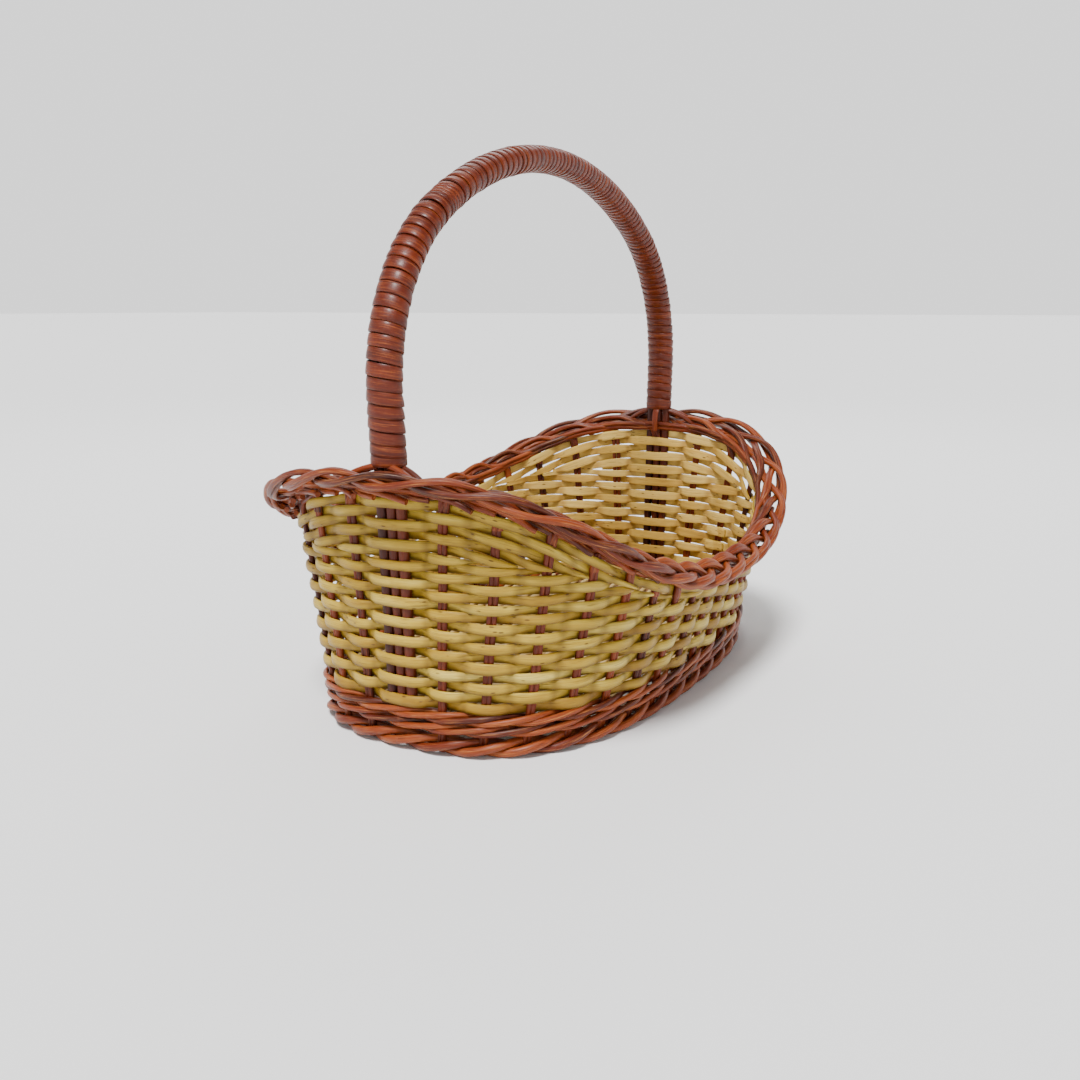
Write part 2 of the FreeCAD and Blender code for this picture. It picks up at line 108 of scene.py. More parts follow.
def wall_table():
    """Stake places with the plan direction, its normal and the eccentric angle at each."""
    angles = np.linspace(-math.pi / 2, 1.5 * math.pi, 1441)
    x, y = plan_direction(angles)
    steps = np.hypot(np.diff(x) * WALL_HALF_WIDTH, np.diff(y) * WALL_HALF_LENGTH)
    lengths = np.concatenate([[0.0], np.cumsum(steps)])
    places = np.linspace(0, STAKES, STAKES * 100 + 1)
    share = places / STAKES
    share = share - CROWDING / TURN * np.sin(TURN * share)
    angle = np.interp(share * lengths[-1], lengths, angles)
    x, y = plan_direction(angle)
    normal_x = signed_power(x, PLAN_EXPONENT - 1) / WALL_HALF_WIDTH
    normal_y = signed_power(y, PLAN_EXPONENT - 1) / WALL_HALF_LENGTH
    size = np.hypot(normal_x, normal_y)
    half = PLAN_EXPONENT / 2
    eccentric = np.unwrap(np.arctan2(signed_power(y, half), signed_power(x, half)))
    return places, {"x": x, "y": y, "nx": normal_x / size, "ny": normal_y / size, "t": eccentric}


TABLE_PLACES, TABLE = wall_table()


def look_up(name, place):
    return np.interp(np.mod(place, STAKES), TABLE_PLACES, TABLE[name])


def outward(place):
    nx, ny = look_up("nx", place), look_up("ny", place)
    return np.stack([nx, ny, np.zeros_like(nx)], axis=-1)


def wall(place, height, offset=0.0):
    """Points on the leaning wall, or offset outward from it."""
    place = np.asarray(place, float)
    height = np.broadcast_to(np.asarray(height, float), place.shape)
    x = (WALL_HALF_WIDTH + LEAN_WIDTH * height) * look_up("x", place)
    y = (WALL_HALF_LENGTH + LEAN_LENGTH * height) * look_up("y", place)
    offset = np.broadcast_to(np.asarray(offset, float), place.shape)
    return np.stack([x, y, height], axis=-1) + outward(place) * offset[..., None]


def rim_height(place):
    t = look_up("t", place)
    return RIM_MEAN - RIM_SADDLE * np.cos(2 * t) + RIM_TILT * np.cos(t) + RIM_TILT_THIRD * np.cos(3 * t)


def weave_height(place):
    return rim_height(place) - WEAVE_DROP - WEAVE_DROP_SADDLE * np.cos(2 * look_up("t", place))


def from_handle(place):
    """Signed distance from the nearer handle foot, in stakes."""
    return np.mod(np.asarray(place, float) + HALF / 2, HALF) - HALF / 2


def near_handle(place, reach):
    """1 at a handle foot, easing to 0 at reach stakes from it."""
    distance = np.minimum(np.abs(from_handle(place)) / reach, 1.0)
    return np.cos(math.pi / 2 * distance) ** 2


# ---------------------------------------------------------------- meshes

def smooth_noise(count, spacing, amount):
    """Slow random wander of a strand, one value a ring, with a turning point every spacing rings."""
    knots = max(4, int(count / spacing) + 3)
    values = rng.normal(0.0, amount, knots)
    return np.interp(np.linspace(0, knots - 1, count), np.arange(knots), values)


def unit(vectors):
    return vectors / np.linalg.norm(vectors, axis=1)[:, None]


def square_to(vectors, tangent):
    """Vectors turned square to a path's unit tangents, one a ring."""
    return unit(vectors - tangent * np.sum(vectors * tangent, axis=1)[:, None])


def along_path(at, marks, points):
    """Points between the ones given, each coordinate read off on its own."""
    return np.stack([np.interp(at, marks, points[:, axis]) for axis in range(3)], axis=1)


def transport(path, first):
    """Two side directions for every ring of a path, that turn with it as little as they can."""
    tangent = unit(np.gradient(path, axis=0))
    side = np.array(first, float)
    sides = np.empty_like(path)
    for index, along in enumerate(tangent):
        side = side - along * (side @ along)
        side /= np.linalg.norm(side)
        sides[index] = side
    return sides, np.cross(tangent, sides)


def round_profile(points=10):
    turn = np.linspace(0, TURN, points, endpoint=False)
    return np.stack([np.cos(turn), np.sin(turn)], axis=1)


def split_profile():
    """Half-round split rod, x outward: crowned skin, and flat pith between two crisp edges."""
    skin_x = [0.05, 0.50, 0.76, 0.93, 1.0, 0.93, 0.76, 0.50, 0.05]
    skin_y = [-1.0, -0.99, -0.82, -0.42, 0.0, 0.42, 0.82, 0.99, 1.0]
    pith_y = [0.96, 0.5, 0.0, -0.5, -0.96]
    pith_x = [0.0, 0.0, 0.02, 0.0, 0.0]
    return np.stack([skin_x + pith_x, skin_y + pith_y], axis=1)


ROUND = round_profile()
SPLIT = split_profile()
# 1 at the profile's points on the skin and 0 at those on the pith
SKIN_DEPTH = 0.03
SPLIT_SKIN = (SPLIT[:, 0] > SKIN_DEPTH).astype(float)
# How far apart two strands' grain may lie, in mm, so that no two look alike
GRAIN_SHIFT_ALONG, GRAIN_SHIFT_ACROSS = 900.0, 70.0
SHARP_EDGE = math.radians(48)


class Piece:
    """One Blender object made of many strands. Each vertex also keeps where it lies on its own
    strand laid out straight, for the grain, and the strand's own random tone, which for the weavers also
    carries the mask for painted shade in the crossings."""

    def __init__(self, name):
        self.name = name
        self.points, self.grain, self.tone, self.faces = [], [], [], []
        self.count = 0

    def strand(self, centre, across, along, profile, size, skin=1.0, closed=False, tone=None, worn=None):
        """Sweeps profile (points of a unit section) along centre. size is (x, y) for every ring, and
        the last argument is 1 where the strand passes a stake and 0 where it dives through between two; the
        split willow paints shade into its colour where this is low."""
        rings, sides = len(centre), len(profile)
        size = np.broadcast_to(np.asarray(size, float), (rings, 2))
        local = profile[None, :, :] * size[:, None, :]
        points = (centre[:, None, :] + local[..., :1] * across[:, None, :]
                  + local[..., 1:] * along[:, None, :])
        steps = np.linalg.norm(np.diff(centre, axis=0), axis=1)
        length = np.concatenate([[0.0], np.cumsum(steps)])
        grain = np.concatenate([np.broadcast_to(length[:, None, None], (rings, sides, 1)), local], axis=2)
        seed = rng.random(2) if tone is None else np.array(tone, float)
        grain = grain + np.array([seed[0] * GRAIN_SHIFT_ALONG, seed[1] * GRAIN_SHIFT_ACROSS, 0.0])
        tones = np.empty((rings, sides, 3))
        tones[..., :2] = seed
        # Mask for painted shade: 1 at the stakes, 0 in the crossings between them.
        if worn is not None:
            tones[..., 1] = worn[:, None]
        tones[..., 2] = skin
        base = self.count
        last = rings if closed else rings - 1
        ring = np.arange(last)[:, None] * sides
        following = (np.arange(last)[:, None] + 1) % rings * sides
        here = np.arange(sides)[None, :]
        beside = (here + 1) % sides
        quads = np.stack([ring + here, ring + beside, following + beside, following + here], axis=2)
        self.faces.extend((quads.reshape(-1, 4) + base).tolist())
        if not closed:
            self.faces.append((base + np.arange(sides)[::-1]).tolist())
            self.faces.append((base + (rings - 1) * sides + np.arange(sides)).tolist())
        self.points.append(points.reshape(-1, 3))
        self.grain.append(grain.reshape(-1, 3))
        self.tone.append(tones.reshape(-1, 3))
        self.count += rings * sides

    def rod(self, path, radius, start, tone=None):
        """A round rod along path, with its first side direction towards start."""
        side, other = transport(path, start)
        self.strand(path, side, other, ROUND, np.stack([radius, radius], axis=1), tone=tone)

    def ring(self, places, path, radius):
        """A round rod that goes all round the wall and closes on itself."""
        tangent = unit(np.roll(path, -1, axis=0) - np.roll(path, 1, axis=0))
        across = square_to(outward(places), tangent)
        size = np.stack([radius, radius], axis=1)
        self.strand(path, across, np.cross(tangent, across), ROUND, size, closed=True)

    def finish(self, material, slot, nodes):
        mesh = bpy.data.meshes.new(self.name)
        points = np.concatenate(self.points) * MM
        mesh.from_pydata(points.tolist(), [], self.faces)
        for label, values in (("grain", self.grain), ("tone", self.tone)):
            attribute = mesh.attributes.new(label, "FLOAT_VECTOR", "POINT")
            attribute.data.foreach_set("vector", np.concatenate(values).astype(np.float32).ravel())
        mesh.shade_smooth()
        mesh.set_sharp_from_angle(angle=SHARP_EDGE)
        mesh.materials.append(material)
        mesh.validate()
        thing = bpy.data.objects.new(self.name, mesh)
        bpy.context.scene.collection.objects.link(thing)
        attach(thing, "root")
        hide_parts(*nodes)


# ---------------------------------------------------------------- materials

SPECULAR = 0.24


class Nodes:
    """Short names for the nodes that the materials use. grain is in mm along and across a strand,
    first is the strand's own tone, the middle output of tone is the weavers' mask for painted shade in the
    crossings, and section is the place across its width."""

    def __init__(self, name):
        self.material = bpy.data.materials.new(name)
        self.material.use_nodes = True
        self.tree = self.material.node_tree
        self.shader = self.tree.nodes["Principled BSDF"]
        self.grain = self.attribute("grain")
        tone = self.tree.nodes.new("ShaderNodeSeparateXYZ")
        self.link(self.attribute("tone"), tone.inputs[0])
        self.first, self.worn, self.skin = tone.outputs
        section = self.tree.nodes.new("ShaderNodeSeparateXYZ")
        self.link(self.grain, section.inputs[0])
        self.section = section.outputs[2]

    def link(self, source, target):
        self.tree.links.new(source, target)

    def attribute(self, name):
        node = self.tree.nodes.new("ShaderNodeAttribute")
        node.attribute_name = name
        return node.outputs["Vector"]

    def stretched(self, scale):
        node = self.tree.nodes.new("ShaderNodeMapping")
        self.link(self.grain, node.inputs["Vector"])
        node.inputs["Scale"].default_value = scale
        return node.outputs[0]

    def noise(self, scale, detail=3.0, roughness=0.6):
        node = self.tree.nodes.new("ShaderNodeTexNoise")
        self.link(self.stretched(scale), node.inputs["Vector"])
        node.inputs["Scale"].default_value = 1.0
        node.inputs["Detail"].default_value = detail
        node.inputs["Roughness"].default_value = roughness
        return node.outputs["Fac"]

    def cells(self, scale):
        node = self.tree.nodes.new("ShaderNodeTexVoronoi")
        self.link(self.stretched(scale), node.inputs["Vector"])
        node.inputs["Scale"].default_value = 1.0
        return node.outputs["Distance"]

    def between(self, value, low, high, first=0.0, last=1.0):
        node = self.tree.nodes.new("ShaderNodeMapRange")
        node.interpolation_type = "SMOOTHSTEP"
        self.link(value, node.inputs["Value"])
        for name, number in (("From Min", low), ("From Max", high), ("To Min", first), ("To Max", last)):
            node.inputs[name].default_value = number
        return node.outputs["Result"]

    def math(self, operation, first, second):
        node = self.tree.nodes.new("ShaderNodeMath")
        node.operation = operation
        for value, socket in ((first, node.inputs[0]), (second, node.inputs[1])):
            if isinstance(value, (int, float)):
                socket.default_value = value
            else:
                self.link(value, socket)
        return node.outputs[0]

    def ramp(self, value, stops):
        node = self.tree.nodes.new("ShaderNodeValToRGB")
        self.link(value, node.inputs[0])
        ramp = node.color_ramp
        while len(ramp.elements) < len(stops):
            ramp.elements.new(0.5)
        for element, (place, colour) in zip(ramp.elements, stops):
            element.position = place
            element.color = (*colour, 1.0)
        return node.outputs[0]

    def mix(self, share, first, second):
        node = self.tree.nodes.new("ShaderNodeMix")
        node.data_type = "RGBA"
        for value, socket in ((share, node.inputs[0]), (first, node.inputs[6]), (second, node.inputs[7])):
            if isinstance(value, tuple):
                socket.default_value = (*value, 1.0)
            elif isinstance(value, (int, float)):
                socket.default_value = value
            else:
                self.link(value, socket)
        return node.outputs[2]

    def finish(self, colour, roughness, height, depth, coat=0.0, coat_roughness=0.3):
        self.link(colour, self.shader.inputs["Base Color"])
        self.link(roughness, self.shader.inputs["Roughness"])
        bump = self.tree.nodes.new("ShaderNodeBump")
        bump.inputs["Strength"].default_value = 1.0
        bump.inputs["Distance"].default_value = depth * MM
        self.link(height, bump.inputs["Height"])
        self.link(bump.outputs[0], self.shader.inputs["Normal"])
        self.shader.inputs["Specular IOR Level"].default_value = SPECULAR
        self.shader.inputs["Coat Weight"].default_value = coat
        self.shader.inputs["Coat Roughness"].default_value = coat_roughness
        return self.material


def make_split_willow():
    """Olive to straw skin outside, pale pith on the flat side, with specks, scars and fibres, and painted
    shade in the crossings and along the lower edge of the skin.
    """
    n = Nodes("split_willow")
    blotch = n.noise((0.035, 0.15, 0.25), 3.0, 0.6)
    place = n.math("ADD", n.math("MULTIPLY", n.first, 0.50), n.math("MULTIPLY", blotch, 0.70))
    skin = n.ramp(place, [(0.15, (0.16, 0.065, 0.003)), (0.35, (0.29, 0.150, 0.008)),
                          (0.55, (0.40, 0.245, 0.017)), (0.74, (0.51, 0.345, 0.036)),
                          (0.95, (0.68, 0.52, 0.11))])
    fibre = n.noise((0.05, 2.6, 2.6), 4.0, 0.65)
    skin = n.mix(n.between(fibre, 0.46, 0.68, 0.0, 0.55), skin, (0.21, 0.105, 0.007))
    pith = n.ramp(place, [(0.2, (0.46, 0.25, 0.040)), (0.5, (0.62, 0.39, 0.075)), (0.9, (0.74, 0.52, 0.14))])
    pith = n.mix(n.between(fibre, 0.45, 0.72, 0.0, 0.5), pith, (0.36, 0.17, 0.026))
    speck = n.between(n.cells((0.11, 0.36, 0.36)), 0.10, 0.20, 1.0, 0.0)
    rare = n.between(n.noise((0.03, 0.1, 0.1), 1.0), 0.46, 0.54)
    scar = n.between(n.noise((0.045, 1.9, 1.9), 2.0), 0.65, 0.71)
    marks = n.math("MAXIMUM", n.math("MULTIPLY", speck, rare), n.math("MULTIPLY", scar, 0.75))
    colour = n.mix(n.skin, pith, skin)
    # Painted shade: a dark brown, deeper on the skin, laid into the crossings between the stakes where the
    # rows dive past each other.
    painted_shade = n.mix(n.skin, (0.30, 0.135, 0.022), (0.13, 0.065, 0.006))
    colour = n.mix(n.between(n.worn, 0.0, 0.55, 0.55, 0.0), colour, painted_shade)
    # Painted shade: the skin darkens towards the lower edge of each strip, as if lit from above.
    painted_underside_shade = n.math("MULTIPLY", n.skin, n.between(n.section, -3.2, 0.3, 0.80, 0.0))
    colour = n.mix(painted_underside_shade, colour, painted_shade)
    colour = n.mix(n.math("MULTIPLY", marks, 0.8), colour, (0.075, 0.030, 0.006))
    roughness = n.between(n.skin, 0.0, 1.0, 0.62, 0.40)
    height = n.math("SUBTRACT", n.math("MULTIPLY", fibre, 0.7), n.math("MULTIPLY", marks, 0.8))
    return n.finish(colour, roughness, height, 0.32, coat=0.06, coat_roughness=0.28)


def make_stained_willow(name, dark, mid, light, grain_and_highlight_pale, coat):
    """Red-brown stained rods, streaked along the grain, with pale streaks that are partly grain and partly
    painted highlight.
    """
    n = Nodes(name)
    blotch = n.noise((0.025, 0.2, 0.2), 3.0, 0.6)
    streak = n.noise((0.06, 1.7, 1.7), 4.0, 0.7)
    place = n.math("ADD", n.math("MULTIPLY", n.first, 0.42), n.math("MULTIPLY", blotch, 0.62))
    colour = n.ramp(place, [(0.22, dark), (0.48, mid), (0.78, light)])
    # Pale streaks: partly the grain, partly painted highlight.
    colour = n.mix(n.between(streak, 0.50, 0.72, 0.0, 0.55), colour, grain_and_highlight_pale)
    colour = n.mix(n.between(streak, 0.30, 0.44, 0.65, 0.0), colour, dark)
    knot = n.between(n.cells((0.035, 0.30, 0.30)), 0.05, 0.14, 1.0, 0.0)
    colour = n.mix(n.math("MULTIPLY", knot, 0.6), colour, (0.035, 0.008, 0.004))
    roughness = n.between(streak, 0.3, 0.75, 0.34, 0.52)
    height = n.math("SUBTRACT", streak, n.math("MULTIPLY", knot, 0.6))
    return n.finish(colour, roughness, height, 0.22, coat=coat, coat_roughness=0.25)


split_willow = make_split_willow()
# The fourth colour of each is the pale of the streaks, which stands partly for grain and partly for painted
# highlight.
stained_willow = make_stained_willow("stained_willow", (0.030, 0.0030, 0.0006), (0.130, 0.0150, 0.0022),
                                     (0.25, 0.046, 0.007), (0.60, 0.23, 0.058), 0.10)
dark_willow = make_stained_willow("dark_willow", (0.035, 0.004, 0.001), (0.125, 0.016, 0.003),
                                  (0.22, 0.038, 0.007), (0.32, 0.075, 0.016), 0.06)
# A darker copy of the stained willow for the handle's bow rods: painted shade.
shaded_bow_willow = make_stained_willow("shaded_bow_willow", (0.020, 0.0025, 0.0008), (0.070, 0.0085, 0.0018),
                                 (0.12, 0.018, 0.003), (0.18, 0.036, 0.008), 0.04)
wrap_cane = make_stained_willow("wrap_cane", (0.026, 0.0022, 0.0004), (0.090, 0.0092, 0.0012),
                                (0.19, 0.026, 0.0028), (0.42, 0.105, 0.017), 0.18)
base_willow = make_stained_willow("base_willow", (0.30, 0.18, 0.06), (0.46, 0.31, 0.12),
                                  (0.58, 0.43, 0.19), (0.68, 0.54, 0.28), 0.05)
base_wood = make_stained_willow("base_wood", (0.10, 0.045, 0.018), (0.20, 0.095, 0.04),
                                (0.30, 0.16, 0.075), (0.40, 0.25, 0.13), 0.04)


# ---------------------------------------------------------------- rows of the wall

# Widths are shares of a row's height, and lengths along a row are in stakes
CROSSING_SHARE, OUTER_SWELL, INNER_SWELL = 0.96, 0.11, 0.26
MEAN_TILT = 0.02
BOW_FLAT = 0.36
NARROWEST_ROW = 1.6
ROD_LENGTHS, LONGEST_LAST_ROD = (9, 14), 17
JOIN_BEFORE, JOIN_PAST, RING_OVERLAP = 0.38, 0.30, 0.35


def meeting_height(place):
    """Where the slanting rows start: one row down at the sides, all of them down at the handle."""
    share = np.sin(look_up("t", place)) ** 4
    return weave_height(place) - SLANT_PITCH * (1 + (SLANTS - 1) * share)


def level_low(row):
    return WALE_TOP + row * LEVEL_PITCH - LEVEL_THINNING * row * (row - 1) / 2


def level_edges(row):
    """Lower and upper edge of a level row, cut off by the slanting rows above it."""
    def edges(place):
        return np.full_like(place, level_low(row)), np.minimum(level_low(row + 1), meeting_height(place))

    return edges


def slant_edges(row):
    """Lower and upper edge of a row that follows the rim and cuts off the level rows."""
    def edges(place):
        high = weave_height(place) - SLANT_PITCH * (SLANTS - 1 - row)
        return np.maximum(high - SLANT_PITCH, meeting_height(place)), high

    return edges


def weave_wave(place):
    """1 and -1 at the stakes in turn, flat across the handle's three rods."""
    distance = np.abs(from_handle(place))
    flat = np.maximum(0.0, distance - BOW_FLAT) / (1 - BOW_FLAT)
    return np.cos(math.pi * np.where(distance < 1, flat, distance))


def bow_offset(height):
    """How far the handle's rods stand out from the wall at a height."""
    leg = HANDLE_HALF_SPAN - (HANDLE_LEG_TOP - height) * math.tan(HANDLE_LEAN)
    return leg - WALL_HALF_LENGTH - LEAN_LENGTH * height


def weave_strip(piece, places, edges, row, tone):
    """One split rod of a row over a run of places. Its flat side leans on each stake in turn, and its
    cut ends stand a little off the wall inside."""
    low, high = edges(places)
    count = len(places)
    side = -1 if row % 2 else 1
    wave = side * weave_wave(places)
    at_handle = near_handle(places, 1.0)
    reach = STAKE_RADIUS + (BOW_RADIUS - STAKE_RADIUS) * at_handle + WEAVER_THICKNESS / 2
    offset = reach * wave - WEAVER_THICKNESS / 2
    middle = (low + high) / 2 + smooth_noise(count, 9, 0.28)
    offset = offset + bow_offset(middle) * at_handle + smooth_noise(count, 11, 0.15)
    from_end = np.minimum(places - places[0], places[-1] - places)
    offset = offset - END_LIFT * np.exp(-(from_end / END_LIFT_SPAN) ** 2)
    centre = wall(places, middle, offset)
    swell = 1 - (1 - wave ** 2) ** 3
    share = CROSSING_SHARE + np.where(wave > 0, OUTER_SWELL, INNER_SWELL) * swell
    width = (high - low) * share * (1 + smooth_noise(count, 18, 0.05))
    thickness = WEAVER_THICKNESS * (1 + smooth_noise(count, 16, 0.06))
    tilt = smooth_noise(count, 8, 0.07) - MEAN_TILT
    across = unit(outward(places) + UP * tilt[:, None])
    upward = unit(UP - across * across[:, 2:3])
    size = np.stack([thickness, width / 2], axis=1)
    # The mask for painted shade: 1 at the stakes, 0 in the crossings.
    piece.strand(centre, across, upward, SPLIT, size, skin=SPLIT_SKIN, tone=tone, worn=np.abs(wave))


def row_runs(edges):
    """Runs of places where a row has room, as (first, last)."""
    low, high = edges(closed_places())
    fits = (high - low) > NARROWEST_ROW
    if fits.all():
        return [(0.0, float(STAKES))]
    runs = []
    for first in range(len(fits)):
        if fits[first] and not fits[first - 1]:
            last = first
            while fits[(last + 1) % len(fits)]:
                last += 1
            runs.append((first / RINGS_PER_STAKE, last / RINGS_PER_STAKE))
    return runs


def weave_row(name, edges, row, node):
    """A row is a few split rods. Each begins and ends inside, just past a stake."""
    piece = Piece(name)
    inside = 0 if row % 2 else 1
    for first, last in row_runs(edges):
        whole = first == 0.0 and last == STAKES
        begin = inside + 2 * rng.integers(0, HALF) if whole else first
        end = begin + (last - first)
        joins = []
        reached = begin
        while end - reached > LONGEST_LAST_ROD:
            reached = inside + 2 * round((reached + rng.uniform(*ROD_LENGTHS) - inside) / 2)
            joins.append(reached)
        starts = [begin - (RING_OVERLAP if whole else 0.0)] + [join - JOIN_BEFORE for join in joins]
        stops = [join + JOIN_PAST for join in joins] + [end + (JOIN_PAST if whole else 0.0)]
        for start, stop in zip(starts, stops):
            places = np.linspace(start, stop, max(6, int((stop - start) * RINGS_PER_STAKE)))
            weave_strip(piece, places, edges, row, rng.random(2))
    piece.finish(split_willow, "split_willow", [node])


for level in range(LEVELS):
    weave_row(f"willow_level_row_{level + 1:02d}", level_edges(level), level, f"level_row_{level + 1:02d}")
for slant in range(SLANTS):
    weave_row(f"willow_slant_row_{slant + 1}", slant_edges(slant), LEVELS + slant, f"slant_row_{slant + 1}")


# ---------------------------------------------------------------- stakes

STAKE_FOOT, STAKE_ABOVE_WEAVE = 1.2, 2.0
STAKE_RINGS = 34
STAKE_PITCH = 27.0
PAIR_SPACING = 2.35
PAIR_RADIUS_LOW, PAIR_RADIUS_HIGH = 1.66, 1.45


def stake_rods(piece, place):
    """Each upright is a pair of thin rods, side by side."""
    heights = np.linspace(STAKE_FOOT, float(weave_height(place)) + STAKE_ABOVE_WEAVE, STAKE_RINGS)
    tone = rng.random(2)
    for half in (-0.5, 0.5):
        places = place + half * PAIR_SPACING / STAKE_PITCH + smooth_noise(STAKE_RINGS, 8, 0.010)
        path = wall(places, heights, smooth_noise(STAKE_RINGS, 9, 0.12))
        taper = np.linspace(PAIR_RADIUS_LOW, PAIR_RADIUS_HIGH, STAKE_RINGS)
        radius = taper * (1 + smooth_noise(STAKE_RINGS, 5, 0.03))
        piece.rod(path, radius, start=outward(place), tone=tone + rng.uniform(-0.1, 0.1, 2))


for number in range(1, QUARTER):
    group = Piece(f"willow_stakes_{number}")
    for place in (number, HALF - number, HALF + number, STAKES - number):
        stake_rods(group, float(place))
    group.finish(dark_willow, "stained_willow", [f"stakes_{number}"])
group = Piece("willow_stakes_side")
for place in (QUARTER, 3 * QUARTER):
    stake_rods(group, float(place))
group.finish(dark_willow, "stained_willow", ["stakes_side"])


# ---------------------------------------------------------------- wale and foot

WALE_BOTTOM, WALE_PITCH, WALE_RISE, WALE_RADIUS = 12.4, 6.2, 1.78, 1.5
WALE_ROUNDS, WALE_STRANDS = 2, 3
WALE_GAP = 0.15
WALE_SWELL, WALE_TAPER = 1.13, 0.05
FOOT_RADIUS, FOOT_RISE, FOOT_REACH = 2.55, 2.9, 4.7
FOOT_STRANDS, FOOT_RODS = 2, 3
FOOT_SWELL, FOOT_TAPER = 0.96, 0.04


def wale_strand(level, strand):
    """One rod of a three-rod wale: in front of two stakes and behind one."""
    places = closed_places()
    phase = TURN * (places - strand + 0.5) / WALE_STRANDS
    clear = STAKE_RADIUS + WALE_RADIUS + WALE_GAP
    swing = clear * (0.3 + 1.1 * np.cos(phase) - 0.25 * np.cos(2 * phase))
    middle = WALE_BOTTOM + WALE_RISE + WALE_RADIUS + level * WALE_PITCH
    height = middle + WALE_RISE * np.sin(phase)
    radius = WALE_RADIUS * (WALE_SWELL + WALE_TAPER * np.sin(places * TURN * 2 / STAKES + strand))
    piece = Piece(f"willow_wale_{level + 1}_{strand + 1}")
    piece.ring(places, wall(places, height, swing), radius)
    piece.finish(stained_willow, "stained_willow", [f"wale_round_{level + 1}_strand_{strand + 1}"])


for level in range(WALE_ROUNDS):
    for strand in range(WALE_STRANDS):
        wale_strand(level, strand)


def foot_rod(piece, number):
    """One of the rods that roll round the stakes' lower ends, once in three stakes."""
    places = closed_places()
    phase = TURN * (places + number) / FOOT_RODS
    height = FOOT_RADIUS + FOOT_RISE + FOOT_RISE * np.sin(phase)
    radius = FOOT_RADIUS * (FOOT_SWELL + FOOT_TAPER * np.sin(places * TURN * 3 / STAKES + 2 * number))
    piece.ring(places, wall(places, height, FOOT_REACH * np.cos(phase)), radius)


for strand in range(FOOT_STRANDS):
    piece = Piece(f"willow_foot_{strand + 1}")
    for number in range(strand, FOOT_RODS, FOOT_STRANDS):
        foot_rod(piece, number)
    piece.finish(stained_willow, "stained_willow", [f"foot_strand_{strand + 1}"])


# ---------------------------------------------------------------- border

BORDER_STRANDS = 3
BORDER_ROD = 1.80
BORDER_OVER, BORDER_CLIMB = 3.2, 1.6
BORDER_MEAN_REACH = 19.0
BORDER_RINGS_PER_STAKE = 12
ROD_LAYER = 1.45
# The border stands off the handle's feet and is narrower there
DODGE_OUT, DODGE_NARROWING = 8.2, 3.0
# Lengths along the border, in stakes
BORDER_START, BORDER_WAVE, BORDER_TAIL = 1.5, 4.6, 1.5
SHORT_TAIL = 0.75
DODGE_REACH, TAIL_DODGE_REACH = 1.6, 1.3
BEND_LENGTH = 0.42
BRAID_FROM, BRAID_EASE = 1.12, 0.8
TAIL_EARLY, TAIL_EASE = 0.35, 0.95
# Heights from the weave's top edge and offsets from the wall, in mm
STEM_HEIGHT, STEM_RISE, STEM_SPREAD = -8.0, 22.0, 1.2
INSIDE_HEIGHT, INSIDE_RISE, INSIDE_OFFSET, INSIDE_SPREAD = 1.4, 1.8, -2.5, 0.4
OUTSIDE_HEIGHT, OUTSIDE_OFFSET = 2.2, 4.6
TIP_DROP, TIP_OUT = 5.0, 4.0


def border_point(place, across, over):
    """across runs from 0 at the border's inner edge to 1 at its outer edge, over is above it in mm."""
    t = look_up("t", place)
    dodge = near_handle(place, DODGE_REACH)
    width = BORDER_WIDTH - BORDER_WIDTH_SADDLE * np.cos(2 * t) - DODGE_NARROWING * dodge
    fall = -BORDER_FALL - BORDER_FALL_SADDLE * np.cos(2 * t)
    reach = np.hypot(width, fall)
    inside = BORDER_ROD + across * (reach - 2 * BORDER_ROD)
    out = (inside * width - over * fall) / reach + DODGE_OUT * dodge
    rise = (inside * fall + over * width) / reach
    point = wall(place, rim_height(place), out)
    point[..., 2] += rise
    return point


def ease(value):
    value = np.clip(value, 0.0, 1.0)
    return (value ** 2 * (3 - 2 * value))[:, None]


def braid_path(place, wave, half):
    """One wave across the border to its outer edge and back."""
    phase = -math.pi / 2 + TURN * wave
    across = 0.5 + 0.5 * np.tanh(1.1 * np.sin(phase)) / math.tanh(1.1)
    across = across + half * BORDER_ROD / BORDER_MEAN_REACH * (1 - 0.3 * np.abs(np.cos(phase)))
    over = -BORDER_OVER * np.sin(2 * phase) + BORDER_CLIMB * (wave - 0.5)
    over = over + half * 0.5 * np.sin(phase * 2 + 0.6) + smooth_noise(len(place), 8, 0.2)
    return border_point(place, across, over)


